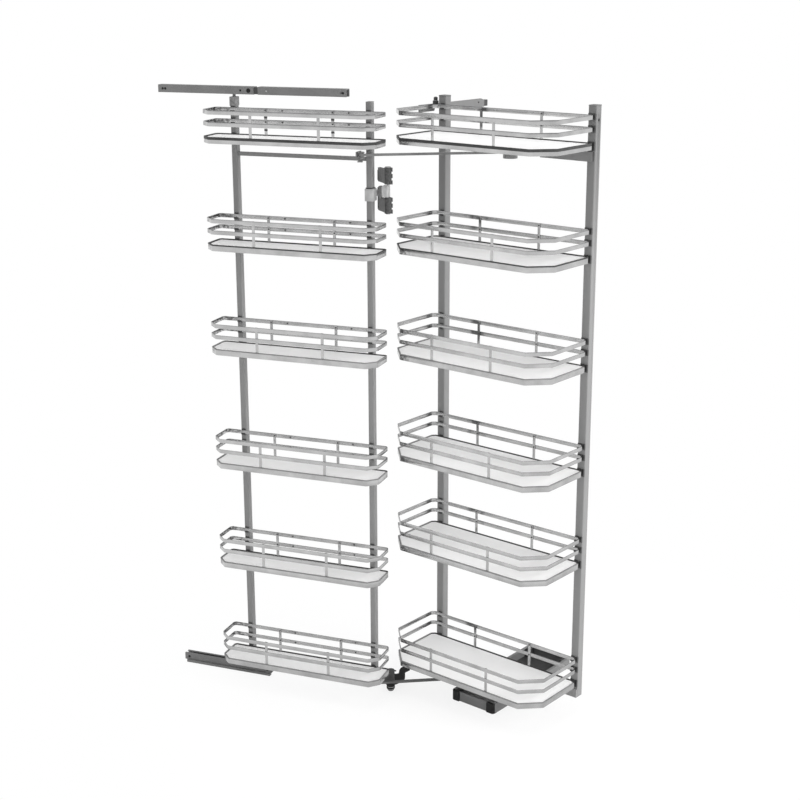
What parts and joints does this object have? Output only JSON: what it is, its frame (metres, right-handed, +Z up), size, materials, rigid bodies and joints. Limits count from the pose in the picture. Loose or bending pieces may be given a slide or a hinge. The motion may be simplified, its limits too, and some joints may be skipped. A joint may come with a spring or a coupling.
{
  "type": "pull out larder unit",
  "caption": "Tall pull out larder unit shown open: a sliding inner frame of deep wire-sided baskets and a hinged door rack of shallow ones, tied by link rods, with floor runner and door rails.",
  "frame": {"origin": "centre of the floor runner's underside, on the cabinet floor", "axes": "+X across the cabinet to the right, +Y into the cabinet, +Z up; the unit is shown pulled out"},
  "size_m": [1.0885, 0.7545, 1.696],
  "materials": {
    "dark_steel": "satin",
    "grey_steel": "satin",
    "wire": "polished",
    "panel": "matt",
    "cast_grey": "satin",
    "bright_steel": "satin",
    "black_plastic": "matt"
  },
  "bodies": {
    "cabinet_fixings": {"runner_channel": "dark_steel", "runner_front": "grey_steel", "runner_caps": "black_plastic", "runner_stops": "black_plastic", "guide_rail": "dark_steel", "guide_rail_end": "black_plastic", "hinge_block_upper": "black_plastic", "hinge_block_lower": "black_plastic", "hinge_pin": "bright_steel", "pivot_foot": "black_plastic", "pivot_plate": "black_plastic"},
    "inner_frame": {"upright_left": "grey_steel", "upright_right": "grey_steel", "upright_plugs": "dark_steel", "link_arm": "grey_steel", "base_beam": "grey_steel", "carriage": "dark_steel", "roller_bracket": "cast_grey", "frame_clips": "black_plastic", "basket_1": "wire", "basket_2": "wire", "basket_3": "wire", "basket_4": "wire", "basket_5": "wire", "basket_6": "wire", "panel_1": "panel", "panel_2": "panel", "panel_3": "panel", "panel_4": "panel", "panel_5": "panel", "panel_6": "panel"},
    "guide_roller": {"guide_roller": "black_plastic"},
    "door_rack": {"rack_upright_left": "grey_steel", "rack_upright_right": "grey_steel", "rack_bars": "grey_steel", "rack_collars": "dark_steel", "rack_hinge_upper": "cast_grey", "rack_hinge_lower": "grey_steel", "rack_sliders": "cast_grey", "rack_clips": "black_plastic", "rack_basket_1": "wire", "rack_basket_2": "wire", "rack_basket_3": "wire", "rack_basket_4": "wire", "rack_basket_5": "wire", "rack_basket_6": "wire", "rack_panel_1": "panel", "rack_panel_2": "panel", "rack_panel_3": "panel", "rack_panel_4": "panel", "rack_panel_5": "panel", "rack_panel_6": "panel"},
    "link_rod_upper": {"rod_upper": "bright_steel"},
    "link_rod_lower": {"rod_lower": "bright_steel"},
    "door_rail_upper": {"door_rail_upper": "dark_steel", "door_rail_joiner": "black_plastic", "door_rail_second": "dark_steel"},
    "door_rail_lower": {"door_rail_lower": "dark_steel"}
  },
  "joints": [
    {"name": "rack_swing", "type": "hinge", "parent": "cabinet_fixings", "child": "door_rack", "pos_m": [-0.233, -0.27, 1.435], "axis": [0, 0, 1], "range_deg": [0, 160.8]},
    {"name": "frame_slide", "type": "slide", "parent": "cabinet_fixings", "child": "inner_frame", "axis": [0, 1, 0], "range_m": [0, 0.1838]},
    {"name": "roller_spin", "type": "hinge", "parent": "inner_frame", "child": "guide_roller", "pos_m": [-0.2606, -0.038, 1.643], "axis": [0, 0, 1], "continuous": true},
    {"name": "rod_upper_pivot", "type": "hinge", "parent": "door_rack", "child": "link_rod_upper", "pos_m": [-0.25926, -0.34056, 1.534], "axis": [0, 0, 1], "range_deg": [-147.1, 0]},
    {"name": "rod_lower_pivot", "type": "hinge", "parent": "door_rack", "child": "link_rod_lower", "pos_m": [-0.25926, -0.34056, 0.047], "axis": [0, 0, 1], "range_deg": [-147.1, 0]},
    {"name": "door_rail_upper_slide", "type": "slide", "parent": "door_rack", "child": "door_rail_upper", "axis": [0.9444, 0.3289, 0], "range_m": [0, 0.1385]},
    {"name": "door_rail_lower_slide", "type": "slide", "parent": "door_rack", "child": "door_rail_lower", "axis": [0.9444, 0.3289, 0], "range_m": [0, 0.1385]}
  ],
  "couplings": [
    {"joint": "frame_slide", "follows": "rack_swing", "m_per_rad": 0.06544},
    {"joint": "rod_upper_pivot", "follows": "rack_swing", "ratio": -0.914},
    {"joint": "rod_lower_pivot", "follows": "rack_swing", "ratio": -0.914},
    {"joint": "door_rail_upper_slide", "follows": "rack_swing", "m_per_rad": 0.04917},
    {"joint": "door_rail_lower_slide", "follows": "rack_swing", "m_per_rad": 0.04917}
  ]
}
